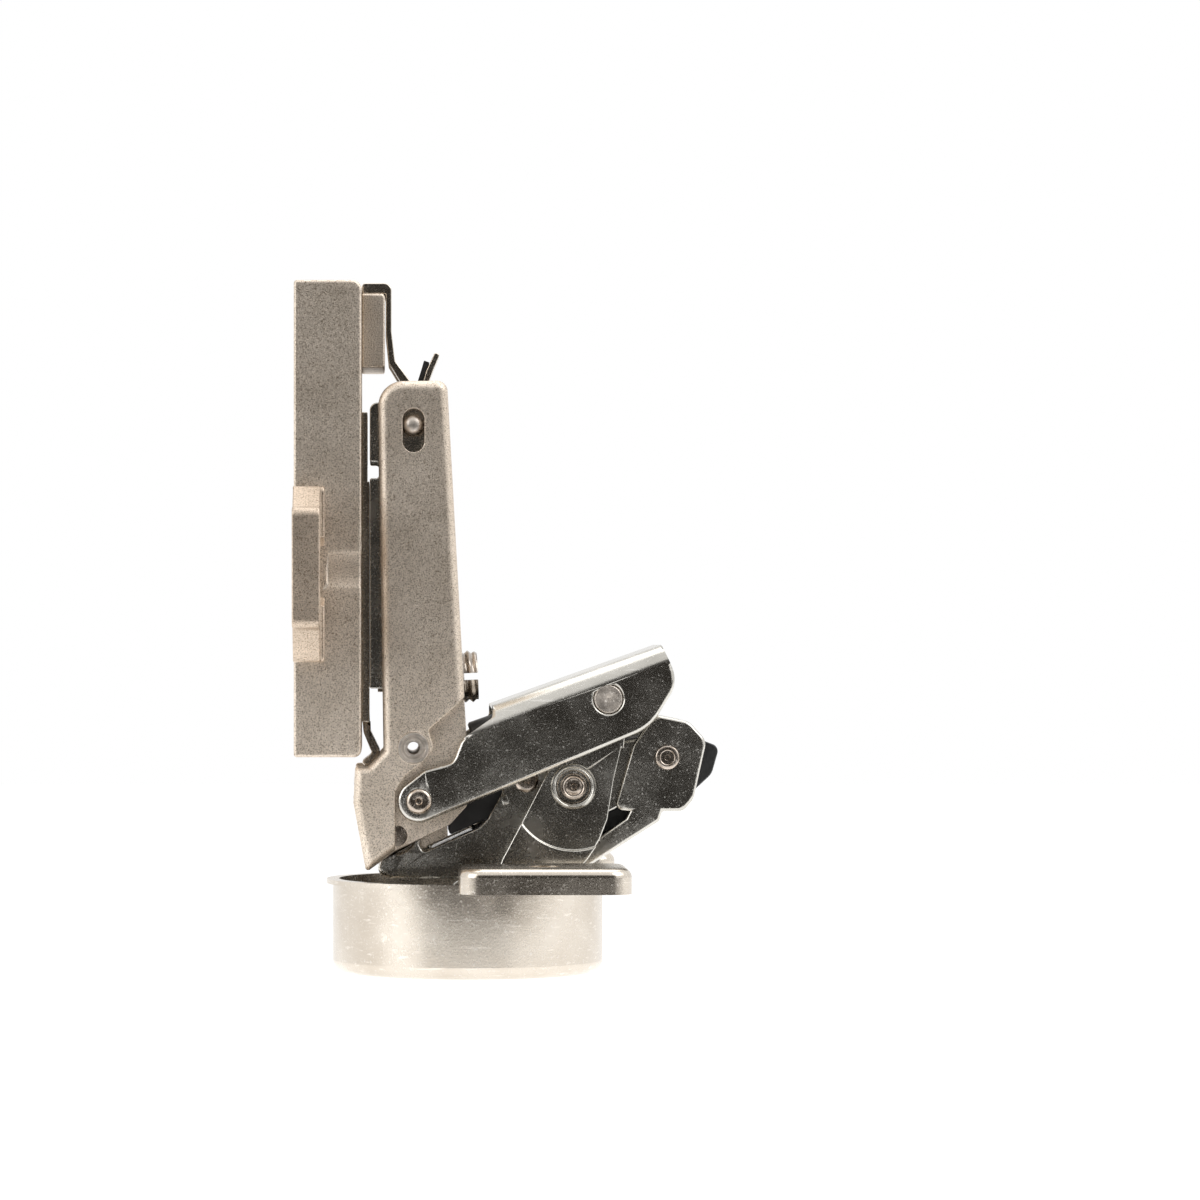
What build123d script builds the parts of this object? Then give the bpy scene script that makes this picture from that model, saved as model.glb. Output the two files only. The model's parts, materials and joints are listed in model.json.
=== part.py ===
from build123d import *
import math
import os

os.makedirs("parts", exist_ok=True)

# Concealed cup hinge for an inset door, shown closed.
# X points away from the cabinet panel, Y runs along the pivots, Z points to the back of the cabinet.
# The origin is midway between the two panel screws, on the face of the panel. Sizes are millimetres.

running = 0.05          # clearance between faces that slide or turn
snug = 0.03             # radial clearance of a turning pin

# Pivots in the plane of the motion, as (X, Z) with the hinge closed
axle_a = (15.29, -22.45)
pivot_b = (15.99, -29.28)
pivot_c = (40.17, -16.20)
pivot_d = (47.83, -23.72)
pivot_e = (35.76, -27.41)
rivet_f = (29.86, -26.75)
pivot_n = (13.20, -33.72)
cup_pivot = (17.56, -45.20)
link_pivot = (22.55, -42.69)
latch_axis = (15.23, 18.88)

# Layers of the levers, one inside the other, measured inwards from the outer faces of the arm
arm_half = 11.0
arm_wall = 2.0
nose_wall = 3.0
sheet = 1.1
outer_sheet = 1.2
layer_gap = 0.1
outer_far = arm_half
outer_near = outer_far - outer_sheet
recess_floor = outer_near - layer_gap
knuckle_far = recess_floor
knuckle_near = knuckle_far - sheet
link_far = knuckle_near - layer_gap
link_near = link_far - sheet
inner_far = link_near - layer_gap
inner_near = inner_far - sheet
housing_half = inner_near - 2 * layer_gap
cup_lever_far = knuckle_far + sheet
cradle_near = cup_lever_far + layer_gap
cradle_sheet = 1.1
cradle_far = cradle_near + cradle_sheet

# Panel side
bar_thick = 3.5
bar_high = 8.0
bar_low = -7.2
wing_reach = 24.0
screw_spacing = 32.0
panel_screw_hole = 2.3
panel_screw_head = 4.3
boss_thick = 4.0
boss_high = 10.8
boss_low = -11.5
height_travel = 2.0
plate_half = 11.0
boss_start = plate_half + height_travel + 0.1
tongue_thick = 2.5
tongue_half = 5.0
tongue_end = 35.4
tunnel_half = 6.5
plate_thick = 8.65
plate_top = 37.3
plate_low = -23.65
cam_z = 31.0
cam_stud = 1.3
cam_throw = height_travel / math.sin(math.radians(45))
cam_disc = cam_throw + cam_stud + 0.3
cam_disc_thick = 1.9
cam_neck = 3.1
catch_thick = 3.0
catch_low = 26.3
catch_high = 35.8
catch_half = 7.5
carriage_half = arm_half - arm_wall - 1.2
carriage_sheet = 1.0
rail_half = carriage_half - 0.8
rail_thick = 1.0
rail_back_thick = 0.75
rail_step = 11.7
rail_top = 20.6
rail_low = -19.2
carriage_web = 13.2
lever_half = carriage_half - carriage_sheet - 2 * layer_gap
tab_half = 4.0
latch_pin_radius = 1.28

# Screws
screw_tilt = 2.67
side_screw_radius = 3.4
side_screw_point = (23.7, -13.35)
screw_neck = 1.1
screw_disc = 1.5
depth_cam_point = (20.35, 8.0)
depth_cam_radius = 3.0
depth_forward = 0.6
depth_back = 1.0

# Pins
axle_radius = 2.04
axle_bore = 0.77
pin_b_radius = 1.2
pin_b_head = 1.6
pin_n_radius = 1.3
inner_eye_bore = 2.25
knuckle_radius = 1.79
cross_radius = 1.3
cross_head = 1.66
link_rivet_radius = 1.2
link_rivet_head = 1.53
housing_rivet_radius = 1.1
cup_pin_radius = 1.2
link_eye_bore = 1.95
head_thick = 0.5

# Damper under the web of the outer lever
damper_radius = 2.6
damper_start = (23.2, -21.9)
damper_length = 18.5
damper_angle = 19.6
rod_radius = 0.9
rod_travel = 5.0

# Cup, screwed to the back of the door
door_face = -40.2
cup_x = 22.4
cup_radius = 17.5
cup_wall = 0.8
cup_depth = 11.5
flange_radius = 18.3
flange_thick = 0.6
wing_x = 31.6
wing_width = 21.4
wing_high = 3.2
wing_far = 29.8
wing_near = 13.2
wing_screw = 22.5
wing_screw_hole = 2.2
wing_sheet = 1.0
cup_inner = cup_radius - cup_wall
cup_floor = door_face - cup_depth + cup_wall


def plates(points, radii, near, far, mode=Mode.ADD):
    """Two equal plates, one each side of the middle plane."""
    for side in (1, -1):
        with BuildSketch(Plane.XZ.offset(side * near)) as face:
            with BuildLine():
                FilletPolyline(*points, radius=radii, close=True)
            make_face()
        extrude(face.sketch, amount=far - near, dir=(0, -side, 0), mode=mode)


def discs(centre, radius, near, far, mode=Mode.ADD):
    """Two round plates or holes, one each side of the middle plane."""
    for side in (1, -1):
        with BuildSketch(Plane.XZ.offset(side * near)) as face:
            with Locations(centre):
                Circle(radius)
        extrude(face.sketch, amount=far - near, dir=(0, -side, 0), mode=mode)


def lever_plates(points, radii, eyes, bores, near, far):
    """Two equal plates with round ends and bores, each given as (centre, radius)."""
    for side in (1, -1):
        with BuildSketch(Plane.XZ.offset(side * near)) as face:
            with BuildLine():
                FilletPolyline(*points, radius=radii, close=True)
            make_face()
            for centre, radius in eyes:
                with Locations(centre):
                    Circle(radius)
            for centre, radius in bores:
                with Locations(centre):
                    Circle(radius, mode=Mode.SUBTRACT)
        extrude(face.sketch, amount=far - near, dir=(0, -side, 0))


def block(points, radii, half, mode=Mode.ADD):
    """An outline that runs straight across the hinge."""
    with BuildSketch(Plane.XZ) as face:
        with BuildLine():
            FilletPolyline(*points, radius=radii, close=True)
        make_face()
    extrude(face.sketch, amount=half, both=True, mode=mode)


def shaft(centre, radius, half, mode=Mode.ADD):
    """A round bar or hole that runs straight across the hinge."""
    with BuildSketch(Plane.XZ) as face:
        with Locations(centre):
            Circle(radius)
    extrude(face.sketch, amount=half, both=True, mode=mode)


def sector(centre, radius, points, near, far, mode=Mode.ADD):
    """Two plates bounded by an outline and by a circle inside which they lie."""
    for side in (1, -1):
        with BuildSketch(Plane.XZ.offset(side * near)) as face:
            with BuildLine():
                FilletPolyline(*points, radius=0.3, close=True)
            make_face()
            with Locations(centre):
                Circle(radius, mode=Mode.INTERSECT)
        extrude(face.sketch, amount=far - near, dir=(0, -side, 0), mode=mode)


def box_between(low, high, mode=Mode.ADD):
    """A box given by two opposite corners."""
    size = [b - a for a, b in zip(low, high)]
    with Locations(tuple(low)):
        Box(*size, align=(Align.MIN, Align.MIN, Align.MIN), mode=mode)


def strip(start, end, thick):
    """Corners of a straight strip whose upper side runs from start to end."""
    length = math.dist(start, end)
    nx = (end[1] - start[1]) / length
    nz = -(end[0] - start[0]) / length
    return [start, end, (end[0] + nx * thick, end[1] + nz * thick), (start[0] + nx * thick, start[1] + nz * thick)]


# Fixed bar with the two wings that take the panel screws
bar_outline = [
    (boss_start, boss_low), (boss_start, boss_high), (boss_start + 3.0, boss_high),
    (wing_reach - 4.0, bar_high), (wing_reach, bar_high), (wing_reach, bar_low),
    (wing_reach - 4.0, bar_low), (boss_start + 3.0, boss_low),
]
with BuildPart() as wing_bar:
    box_between((0, -boss_start - 1, -tunnel_half), (tongue_thick, boss_start + 1, tunnel_half))
    for side in (1, -1):
        with BuildSketch(Plane.YZ):
            with BuildLine():
                FilletPolyline(*[(side * y, z) for y, z in bar_outline], radius=1.2, close=True)
            make_face()
        extrude(amount=bar_thick)
        with BuildSketch(Plane.YZ.offset(bar_thick)):
            with Locations((side * (boss_start + 1.5), (boss_high + boss_low) / 2)):
                RectangleRounded(3.0, boss_high - boss_low, 0.8)
        extrude(amount=boss_thick - bar_thick)
    box_between((0, -tongue_half, tunnel_half - 1), (tongue_thick, tongue_half, tongue_end))
    with BuildSketch(Plane.YZ):
        with Locations((0, cam_z - cam_throw / 2)):
            RectangleRounded(2 * (cam_stud + 0.12), cam_throw + 4 * cam_stud, cam_stud)
    extrude(amount=tongue_thick, mode=Mode.SUBTRACT)
    with Locations(Plane.YZ.offset(bar_thick)):
        with Locations((screw_spacing / 2, 0), (-screw_spacing / 2, 0)):
            CounterSinkHole(panel_screw_hole, panel_screw_head, depth=bar_thick)
wing_bar.part.label = "wing_bar"
export_step(wing_bar.part, "parts/wing_bar.step")

# Die-cast body that slides on the bar
with BuildPart() as plate_body:
    block([(0, plate_low), (plate_thick, plate_low), (plate_thick, plate_top), (0, plate_top)],
          [0.4, 1.0, 1.2, 0.4], plate_half)
    box_between((-1, -plate_half - 1, -tunnel_half - running),
                (tongue_thick + running, plate_half + 1, tunnel_half + running), Mode.SUBTRACT)
    box_between((-1, -tongue_half - height_travel - 0.1, tunnel_half),
                (tongue_thick + running, tongue_half + height_travel + 0.1, tongue_end + 0.3), Mode.SUBTRACT)
    box_between((-1, -plate_half + 2.2, plate_low + 2.2),
                (plate_thick - 2.4, plate_half - 2.2, -tunnel_half - 2.0), Mode.SUBTRACT)
    with Locations(Plane.YZ.offset(tongue_thick)):
        with Locations((0, cam_z)):
            Cylinder(cam_disc + running, cam_disc_thick + 2 * running,
                     align=(Align.CENTER, Align.CENTER, Align.MIN), mode=Mode.SUBTRACT)
            Cylinder(cam_neck + running, plate_thick,
                     align=(Align.CENTER, Align.CENTER, Align.MIN), mode=Mode.SUBTRACT)
    for side in (1, -1):
        with BuildSketch(Plane.YZ.offset(4.1)):
            with Locations((side * (plate_half + 7.5), 0.35)):
                Circle(8.0)
        extrude(amount=plate_thick, mode=Mode.SUBTRACT)
plate_body.part.label = "plate_body"
export_step(plate_body.part, "parts/plate_body.step")

# Cam screw that moves the body along the bar
with BuildPart() as height_cam:
    with Locations(Plane.YZ.offset(tongue_thick + running)):
        with Locations((0, cam_z)):
            Cylinder(cam_disc, cam_disc_thick, align=(Align.CENTER, Align.CENTER, Align.MIN))
            Cylinder(cam_neck, plate_thick + catch_thick - tongue_thick - 0.6,
                     align=(Align.CENTER, Align.CENTER, Align.MIN))
    with Locations(Plane.YZ.offset(0.3)):
        with Locations((0, cam_z - cam_throw)):
            Cylinder(cam_stud, tongue_thick, align=(Align.CENTER, Align.CENTER, Align.MIN))
    with Locations((plate_thick + catch_thick - 0.5, 0, cam_z)):
        Box(2.0, 4.2, 0.9, mode=Mode.SUBTRACT)
        Box(2.0, 0.9, 4.2, mode=Mode.SUBTRACT)
height_cam.part.label = "height_cam"
export_step(height_cam.part, "parts/height_cam.step")

# Catch block behind the arm, with the bore for the cam screw
with BuildPart() as rear_catch:
    block([(plate_thick, catch_low), (plate_thick + catch_thick, catch_low),
           (plate_thick + catch_thick, catch_high), (plate_thick, catch_high)],
          [0, 0.3, 0.5, 0], catch_half)
    with Locations(Plane.YZ.offset(plate_thick)):
        with Locations((0, cam_z)):
            Cylinder(cam_neck + running, 3 * catch_thick, mode=Mode.SUBTRACT)
rear_catch.part.label = "rear_catch"
export_step(rear_catch.part, "parts/rear_catch.step")

# Folded steel rail on the body, with the hook at its front end
rail_face = plate_thick + rail_thick
hook_outline = [
    (plate_thick, rail_low + 1), (rail_face, rail_low + 1), (rail_face + 0.1, rail_low - 1.1),
    (rail_face + 1.35, rail_low - 3.7), (rail_face + 1.2, rail_low - 4.7), (rail_face - 0.5, rail_low - 5.8),
    (rail_face - 1.0, rail_low - 5.2), (rail_face + 0.35, rail_low - 4.1), (plate_thick + 0.25, rail_low - 1.4),
]
with BuildPart() as clip_rail:
    box_between((plate_thick, -rail_half, rail_low), (rail_face, rail_half, rail_step))
    box_between((plate_thick, -rail_half, rail_step), (plate_thick + rail_back_thick, rail_half, rail_top))
    block(hook_outline, [0, 0, 0.5, 0.5, 0.4, 0.25, 0.25, 0.4, 0.4], rail_half - 2)
clip_rail.part.label = "clip_rail"
export_step(clip_rail.part, "parts/clip_rail.step")

# Steel carriage that clips on the rail and carries the arm
slot_top = side_screw_point[1] + depth_back + screw_neck + 0.35
cam_slot_z = depth_cam_point[1] - 0.35
wall_foot = rail_face + running
with BuildPart() as clip_carriage:
    box_between((carriage_web - carriage_sheet, -carriage_half, -16.5), (carriage_web, carriage_half, 12.6))
    plates([(wall_foot, -14.9), (carriage_web, -14.9), (carriage_web, 13.0), (17.2, 15.6), (17.2, 21.8),
            (wall_foot, 21.8), (wall_foot, 14.2), (10.85, 14.2), (10.85, 12.1), (wall_foot, 12.1)],
           [0.3, 0, 0.5, 1.0, 1.5, 1.0, 0.3, 0.3, 0.3, 0.3], carriage_half - carriage_sheet, carriage_half)
    box_between((carriage_web - 2, -screw_neck - 0.1, -17.5), (carriage_web + 1, screw_neck + 0.1, slot_top),
                Mode.SUBTRACT)
    box_between((carriage_web - 2, -1.1, cam_slot_z - 1.1 - depth_forward),
                (carriage_web + 1, 1.1, cam_slot_z + 1.1 + depth_back), Mode.SUBTRACT)
    shaft(latch_axis, latch_pin_radius + snug, carriage_half + 1, Mode.SUBTRACT)
clip_carriage.part.label = "clip_carriage"
export_step(clip_carriage.part, "parts/clip_carriage.step")

# Cross pin on which the arm tilts, seen in the slot of the arm
with BuildPart() as latch_pin:
    shaft(latch_axis, latch_pin_radius, arm_half - 0.2)
    chamfer(latch_pin.edges().filter_by(GeomType.CIRCLE), 0.2)
latch_pin.part.label = "latch_pin"
export_step(latch_pin.part, "parts/latch_pin.step")

# Sprung lever: hook over the catch, ears on the cross pin and a finger tab bent out of its middle
hook_x = plate_thick + catch_thick + 0.1
lever_sheet = 0.75
hook_under = catch_high + running
hook_top = hook_under + 1.35
back_sheet = [
    (plate_thick, hook_under), (plate_thick, hook_top), (hook_x + lever_sheet, hook_top),
    (hook_x + lever_sheet, 31.0), (hook_x + lever_sheet + 0.45, 27.2), (15.2, 24.2), (15.9, 20.7),
    (14.7, 20.7), (14.2, 23.6), (hook_x + 0.4, 27.0), (hook_x, 31.0), (hook_x, hook_under),
]
tab_outline = [(14.9, 22.6), (16.5, 24.4), (17.0, 26.1), (18.1, 28.5), (18.75, 28.2), (17.75, 25.8),
               (17.1, 24.0), (15.6, 21.8)]
with BuildPart() as release_lever:
    block(back_sheet, [0.3, 0.5, 1.0, 0.5, 1.0, 1.0, 0.3, 0.3, 0.8, 0.8, 0.4, 0.2], lever_half)
    box_between((hook_x - 0.5, -tab_half - 0.3, 23.4), (16.5, tab_half + 0.3, hook_under - 1.5), Mode.SUBTRACT)
    block(tab_outline, [0, 0.8, 0.8, 0.3, 0.3, 0.8, 0.8, 0], tab_half)
    discs(latch_axis, 2.5, lever_half - sheet, lever_half)
    plates([(12.9, 19.2), (17.5, 19.2), (16.0, 22.6), (14.2, 23.4)], 0.4, lever_half - sheet, lever_half)
    shaft(latch_axis, latch_pin_radius + snug, lever_half + 1, Mode.SUBTRACT)
release_lever.part.label = "release_lever"
export_step(release_lever.part, "parts/release_lever.step")

# Black leaf behind the finger tab
with BuildPart() as latch_spring:
    block([(15.1, 23.45), (16.0, 23.45), (16.8, 24.8), (17.4, 27.2), (16.7, 27.45), (16.4, 26.4),
           (15.9, 24.8)], [0, 0, 0.5, 0.1, 0.1, 0.5, 0.5], tab_half - 0.5)
    block(tab_outline, [0, 0.8, 0.8, 0.3, 0.3, 0.8, 0.8, 0], tab_half, Mode.SUBTRACT)
latch_spring.part.label = "latch_spring"
export_step(latch_spring.part, "parts/latch_spring.step")

# Die-cast arm with the nose that carries the lever pins
arm_outline = [
    (10.75, 24.4), (19.6, 24.5), (22.2, -23.0), (22.2, -29.85), (19.95, -32.3), (12.93, -35.7),
    (9.23, -38.4), (7.6, -29.5), (7.83, -24.87), (9.5, -24.87), (11.45, -22.8),
]
arm_bend = 1.2
web_thick = 1.2
nose_start = -12.0
arm_cavity = [(5, 30), (19.6 - web_thick, 30), (19.6 - web_thick, 24.5), (21.55 - web_thick, nose_start),
              (5, nose_start)]
nose_cavity = [(5, nose_start + 0.01), (21.55 - web_thick, nose_start + 0.01), (22.2 - web_thick, -23.0),
               (22.2 - web_thick, -27.3), (26.0, -27.3), (26.0, -40.0), (5, -40.0)]
recess = [(26.0, -15.94), (21.86, -15.94), (17.14, -20.15), (17.8, -22.4), (16.1, -24.6), (14.2, -25.9),
          (12.93, -28.0), (12.93, -40.0), (26.0, -40.0)]
pin_slot_x = 15.3
pin_slot = 1.4
screw_axis = Plane(origin=(side_screw_point[0], 0, side_screw_point[1]), x_dir=(0, 1, 0),
                   z_dir=(math.cos(math.radians(screw_tilt)), 0, math.sin(math.radians(screw_tilt))))
cam_axis = Plane(origin=(depth_cam_point[0], 0, depth_cam_point[1]), x_dir=(0, 1, 0), z_dir=screw_axis.z_dir)
with BuildPart() as arm_body:
    block(arm_outline, [3.2, 1.4, 3.0, 1.0, 0.8, 0.6, 0.4, 0.8, 0.4, 0.3, 0.4], arm_half)
    long_edges = arm_body.edges().filter_by(
        lambda e: abs(abs(e.center().Y) - arm_half) < 0.01
        and e.length > 0.8 * math.dist(arm_outline[1], arm_outline[2]))
    fillet(long_edges.sort_by(Axis.X)[-2:], arm_bend)
    block(arm_cavity, 0, arm_half - arm_wall, Mode.SUBTRACT)
    block(nose_cavity, 0, arm_half - nose_wall, Mode.SUBTRACT)
    plates(recess, [0, 0.5, 0.6, 0.8, 1.0, 1.0, 1.0, 0, 0], recess_floor, arm_half + 1, Mode.SUBTRACT)
    block([(7.7, -26.2), (9.4, -26.2), (9.0, -29.0), (7.7, -29.0)], 0.3, arm_half - nose_wall + 0.5)
    with Locations(screw_axis.offset(-2.0)):
        Cylinder(side_screw_radius + 1.2, 4.6, align=(Align.CENTER, Align.CENTER, Align.MAX))
    with Locations(screw_axis):
        Cylinder(side_screw_radius + running, 30, mode=Mode.SUBTRACT)
    with Locations(cam_axis):
        Cylinder(depth_cam_radius + running, 10, mode=Mode.SUBTRACT)
    for side in (1, -1):
        with BuildSketch(Plane.XZ.offset(side * (arm_half - arm_wall - 1))) as slot_face:
            with Locations((pin_slot_x, 18.1)):
                SlotCenterToCenter(2.8, 2 * pin_slot, rotation=90)
        extrude(slot_face.sketch, amount=arm_wall + 3, dir=(0, -side, 0), mode=Mode.SUBTRACT)
    box_between((17.5, -tab_half - 0.6, 21.0), (21.0, tab_half + 0.6, 26.0), Mode.SUBTRACT)
    shaft(axle_a, axle_radius, arm_half + 1, Mode.SUBTRACT)
    shaft(pivot_b, pin_b_radius, arm_half + 1, Mode.SUBTRACT)
    shaft(pivot_n, pin_n_radius, recess_floor, Mode.SUBTRACT)
arm_body.part.label = "arm_body"
export_step(arm_body.part, "parts/arm_body.step")

# Tubular rivet across the arm
with BuildPart() as spring_axle:
    shaft(axle_a, axle_radius, arm_half)
    shaft(axle_a, axle_bore, arm_half + 1, Mode.SUBTRACT)
spring_axle.part.label = "spring_axle"
export_step(spring_axle.part, "parts/spring_axle.step")

# Closing spring: a short coil on the rivet with two straight legs
wire = 0.55
coil_radius = axle_radius + wire + 0.15
coil_turns = 5
coil_pitch = 2 * wire + 0.25
with BuildPart() as closing_spring:
    for turn in range(coil_turns):
        ring_y = (turn - (coil_turns - 1) / 2) * coil_pitch
        with BuildSketch(Plane.XY.offset(axle_a[1])):
            with Locations((axle_a[0] + coil_radius, ring_y)):
                RegularPolygon(wire, 8)
        revolve(axis=Axis((axle_a[0], 0, axle_a[1]), (0, 1, 0)))
        if turn:
            with Locations((axle_a[0] - coil_radius, ring_y - coil_pitch / 2, axle_a[1])):
                Box(wire, coil_pitch, wire)
    for side in (1, -1):
        leg_y = side * (coil_turns - 1) / 2 * coil_pitch
        with BuildSketch(Plane(origin=(axle_a[0], leg_y, axle_a[1] + coil_radius), z_dir=(1, 0, 0.35))):
            RegularPolygon(wire, 8)
        extrude(amount=4.6)
closing_spring.part.label = "closing_spring"
export_step(closing_spring.part, "parts/closing_spring.step")

# Pins in the nose
with BuildPart() as outer_lever_pin:
    shaft(pivot_b, pin_b_radius, outer_far + 0.1)
    discs(pivot_b, pin_b_head, outer_far + running, outer_far + running + head_thick)
outer_lever_pin.part.label = "outer_lever_pin"
export_step(outer_lever_pin.part, "parts/outer_lever_pin.step")

with BuildPart() as inner_lever_pin:
    shaft(pivot_n, pin_n_radius, recess_floor)
inner_lever_pin.part.label = "inner_lever_pin"
export_step(inner_lever_pin.part, "parts/inner_lever_pin.step")

# Slotted screw that tilts the arm; its neck sits in the slot of the carriage
neck_start = -9.6
disc_start = -12.4
with BuildPart() as side_screw:
    with Locations(screw_axis):
        Cylinder(side_screw_radius, -neck_start, align=(Align.CENTER, Align.CENTER, Align.MAX))
    with Locations(screw_axis.offset(neck_start + 0.1)):
        Cylinder(screw_neck, neck_start - disc_start + 0.2, align=(Align.CENTER, Align.CENTER, Align.MAX))
    with Locations(screw_axis.offset(disc_start)):
        Cylinder(screw_disc, 0.65, align=(Align.CENTER, Align.CENTER, Align.MAX))
    with Locations(screw_axis):
        Box(0.9, 4 * side_screw_radius, 3.6, mode=Mode.SUBTRACT)
side_screw.part.label = "side_screw"
export_step(side_screw.part, "parts/side_screw.step")

# Scroll screw that sets the depth
with BuildPart() as depth_cam:
    with Locations(cam_axis):
        Cylinder(depth_cam_radius, 1.75, align=(Align.CENTER, Align.CENTER, Align.MAX))
    with Locations(cam_axis.offset(-1.45)):
        Cylinder(depth_cam_radius + 0.8, 1.0, align=(Align.CENTER, Align.CENTER, Align.MAX))
    with Locations(cam_axis.offset(-2.0)):
        Cylinder(1.0, 5.9, align=(Align.CENTER, Align.CENTER, Align.MAX))
    with Locations(cam_axis):
        Box(3.8, 0.8, 2.2, mode=Mode.SUBTRACT)
        Box(0.8, 3.8, 2.2, mode=Mode.SUBTRACT)
depth_cam.part.label = "depth_cam"
export_step(depth_cam.part, "parts/depth_cam.step")

# Outer lever: a folded channel from the nose to the knuckle
web_start = (25.4, -17.0)
web_end = (47.0, -9.3)
web_bend = 1.5
outer_outline = [
    (17.06, -31.82), (45.5, -19.85), (49.2, -14.0), web_end, web_start, (25.4, -18.6), (21.4, -21.4),
    (20.3, -24.3), (16.6, -25.3), (14.06, -27.33),
]
with BuildPart() as outer_lever:
    plates(outer_outline, [0, 6.0, 4.0, 0.2, 0.2, 0.7, 1.5, 1.5, 1.5, 0], outer_near, outer_far)
    discs(pivot_b, 2.75, outer_near, outer_far)
    block(strip(web_start, web_end, outer_sheet), 0, outer_far)
    long_edges = outer_lever.edges().filter_by(
        lambda e: abs(abs(e.center().Y) - outer_far) < 0.01
        and e.length > 0.6 * math.dist(web_start, web_end))
    fillet(long_edges.sort_by(Axis.Z)[-2:], web_bend)
    shaft(pivot_b, pin_b_radius + snug, arm_half + 1, Mode.SUBTRACT)
    shaft(pivot_c, knuckle_radius, arm_half + 1, Mode.SUBTRACT)
outer_lever.part.label = "outer_lever"
export_step(outer_lever.part, "parts/outer_lever.step")

# Rivets of the knuckle, one each side, flush with the outer lever
with BuildPart() as knuckle_rivets:
    discs(pivot_c, knuckle_radius, knuckle_near - 0.05, outer_far)
knuckle_rivets.part.label = "knuckle_rivets"
export_step(knuckle_rivets.part, "parts/knuckle_rivets.step")

# Damper cylinder and its rod, which pushes on the front of the arm
damper_axis = Plane(origin=(damper_start[0], 0, damper_start[1]), x_dir=(0, 1, 0),
                    z_dir=(math.cos(math.radians(damper_angle)), 0, math.sin(math.radians(damper_angle))))
rod_depth = rod_travel + 5.0
with BuildPart() as damper_cylinder:
    with Locations(damper_axis):
        Cylinder(damper_radius, damper_length, align=(Align.CENTER, Align.CENTER, Align.MIN))
    chamfer(damper_cylinder.edges().filter_by(GeomType.CIRCLE), 0.25)
    with Locations(damper_axis):
        Cylinder(rod_radius + running, rod_depth, align=(Align.CENTER, Align.CENTER, Align.MIN),
                 mode=Mode.SUBTRACT)
damper_cylinder.part.label = "damper_cylinder"
export_step(damper_cylinder.part, "parts/damper_cylinder.step")

with BuildPart() as damper_rod:
    with Locations(damper_axis):
        Cylinder(rod_radius, rod_depth - 0.3, align=(Align.CENTER, Align.CENTER, Align.MIN))
damper_rod.part.label = "damper_rod"
export_step(damper_rod.part, "parts/damper_rod.step")

# Cup lever: the plates step outwards on an arc about the cross rivets and end in a rolled eye
joggle = 8.7
knuckle_end = 2.8
lever_upper = [(37.6, -15.6), (42.6, -15.6), (42.2, -21.0), (40.9, -26.5), (40.1, -31.6), (39.1, -34.2),
               (37.5, -36.9), (26.6, -36.9), (32.6, -25.3)]
lever_lower = [(31.2, -28.0), (26.6, -36.7), (25.2, -40.7), (17.1, -42.9), (18.0, -47.5), (28.6, -45.2),
               (34.2, -40.3), (37.5, -36.7), (39.2, -34.2), (40.3, -30.5), (36.0, -28.0)]
with BuildPart() as cup_lever:
    sector(pivot_e, joggle + sheet / 2, lever_upper, knuckle_near, knuckle_far)
    plates([(37.4, -16.7), (42.9, -15.9), (42.2, -22.5), (34.0, -22.5)], 0.2, knuckle_near, knuckle_far)
    discs(pivot_c, knuckle_end, knuckle_near, knuckle_far)
    for side in (1, -1):
        with BuildSketch(Plane.XZ.offset(side * knuckle_far)) as lower_face:
            with BuildLine():
                FilletPolyline(*lever_lower, radius=[0.3, 0.5, 2.5, 0.5, 0.5, 3.0, 3.0, 1.0, 1.5, 0.3, 0.3],
                               close=True)
            make_face()
            with Locations(pivot_e):
                Circle(joggle - sheet / 2, mode=Mode.SUBTRACT)
        extrude(lower_face.sketch, amount=sheet, dir=(0, -side, 0))
    shaft(cup_pivot, cup_pin_radius + 0.9, cup_lever_far)
    discs(pivot_e, 2.7, knuckle_far - 0.1, knuckle_far + 0.2)
    shaft(cup_pivot, cup_pin_radius + snug, cup_lever_far + 1, Mode.SUBTRACT)
    shaft(pivot_e, cross_radius, cup_lever_far + 1, Mode.SUBTRACT)
    shaft(pivot_c, knuckle_radius + snug, cup_lever_far + 1, Mode.SUBTRACT)
cup_lever.part.label = "cup_lever"
export_step(cup_lever.part, "parts/cup_lever.step")

# Cross rivets, one each side, between the cup lever and the inner lever
with BuildPart() as cross_rivets:
    discs(pivot_e, cross_radius, inner_near, knuckle_far + 0.3)
    discs(pivot_e, cross_head, knuckle_far + 0.2, knuckle_far + 0.2 + head_thick)
cross_rivets.part.label = "cross_rivets"
export_step(cross_rivets.part, "parts/cross_rivets.step")

# Inner lever from the nose under the outer lever to the link
inner_outline = [
    (11.2, -36.2), (10.6, -38.6), (12.5, -39.3), (26.5, -39.3), (31.5, -34.2), (40.5, -30.8), (49.0, -26.3),
    (49.8, -21.6), (46.5, -20.9), (30.0, -23.9), (27.0, -25.8), (26.6, -28.4), (24.8, -31.6), (23.8, -32.65),
    (16.6, -35.9), (15.0, -33.0), (11.5, -32.0),
]
inner_radii = [1.0, 1.0, 1.0, 3.0, 3.0, 4.0, 2.0, 1.5, 2.0, 2.0, 1.0, 0.8, 0.8, 0.8, 0.5, 0.5, 0.5]
inner_eyes = [(pivot_n, inner_eye_bore + 0.85), (pivot_d, 2.8)]
inner_bores = [(pivot_n, inner_eye_bore), (pivot_e, cross_radius + snug), (pivot_d, link_rivet_radius),
               (rivet_f, housing_rivet_radius)]
with BuildPart() as inner_lever:
    lever_plates(inner_outline, inner_radii, inner_eyes, inner_bores, inner_near, inner_far)
    block(strip((17.6, -35.66), (23.0, -33.22), sheet), 0, inner_far)
inner_lever.part.label = "inner_lever"
export_step(inner_lever.part, "parts/inner_lever.step")

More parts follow.
